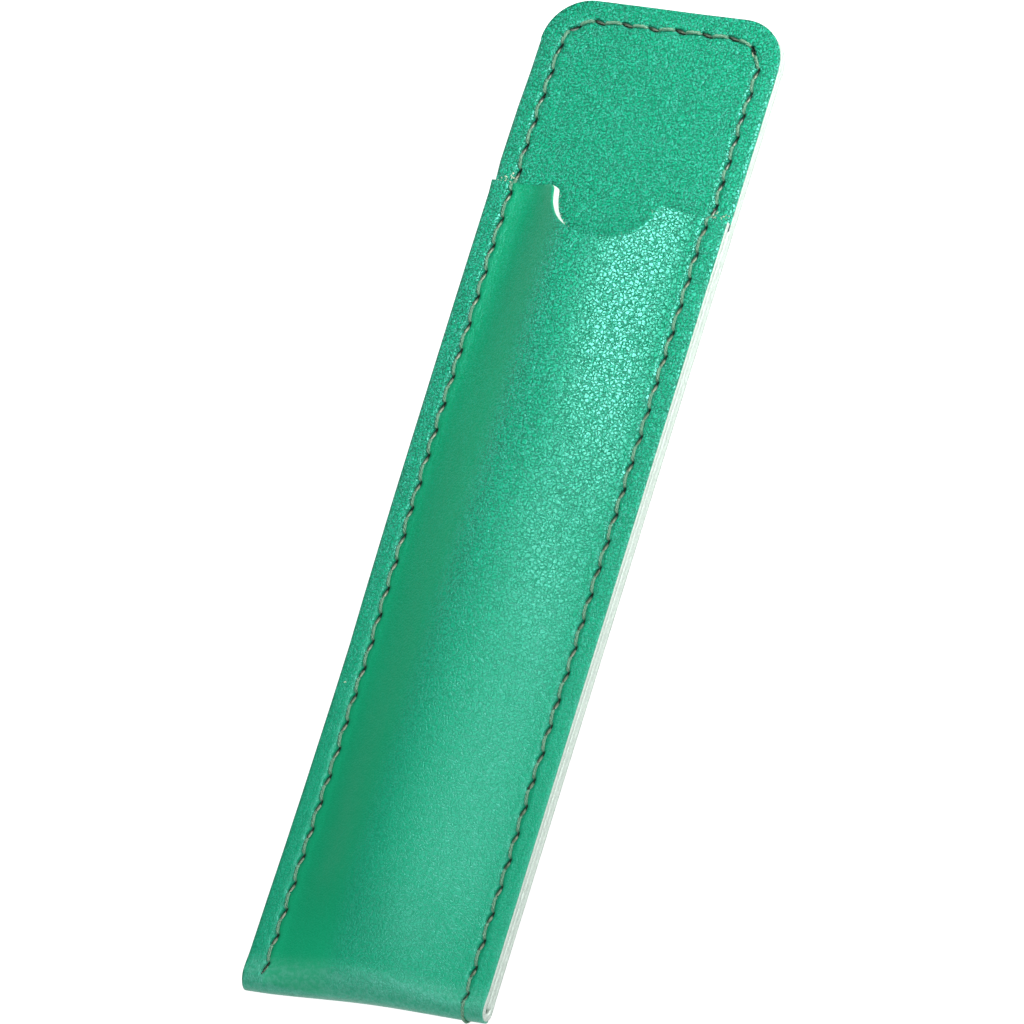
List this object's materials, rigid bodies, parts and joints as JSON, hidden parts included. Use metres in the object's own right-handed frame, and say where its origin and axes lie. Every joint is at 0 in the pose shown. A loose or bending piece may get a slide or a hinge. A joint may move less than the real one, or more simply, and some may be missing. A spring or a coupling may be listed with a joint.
{
  "type": "pen sleeve",
  "caption": "Slim stitched leather sleeve that holds one pen, with a domed front pocket, a thumb notch in its mouth and a flat rounded tab above it.",
  "frame": {"origin": "centre of the bounding box in x and y, at its lowest point in z", "axes": "+Y from the folded bottom to the tab's rounded end, +Z out of the front of the pocket, +X to the right as seen from the front"},
  "size_m": [0.039, 0.1654, 0.0098],
  "materials": {
    "green_film": "pebbled grain, satin sheen",
    "white_base": "raw cut edge, matt and fibrous",
    "glue": "dried, dull",
    "thread": "twisted polyester, waxed"
  },
  "bodies": {
    "root": {"outer_strip_film": "green_film", "outer_strip_base": "white_base", "inner_panel_film": "green_film", "inner_panel_base": "white_base", "panel_glue": "glue", "left_margin_glue": "glue", "right_margin_glue": "glue", "needle_thread": "thread", "bobbin_thread": "thread"}
  },
  "joints": []
}
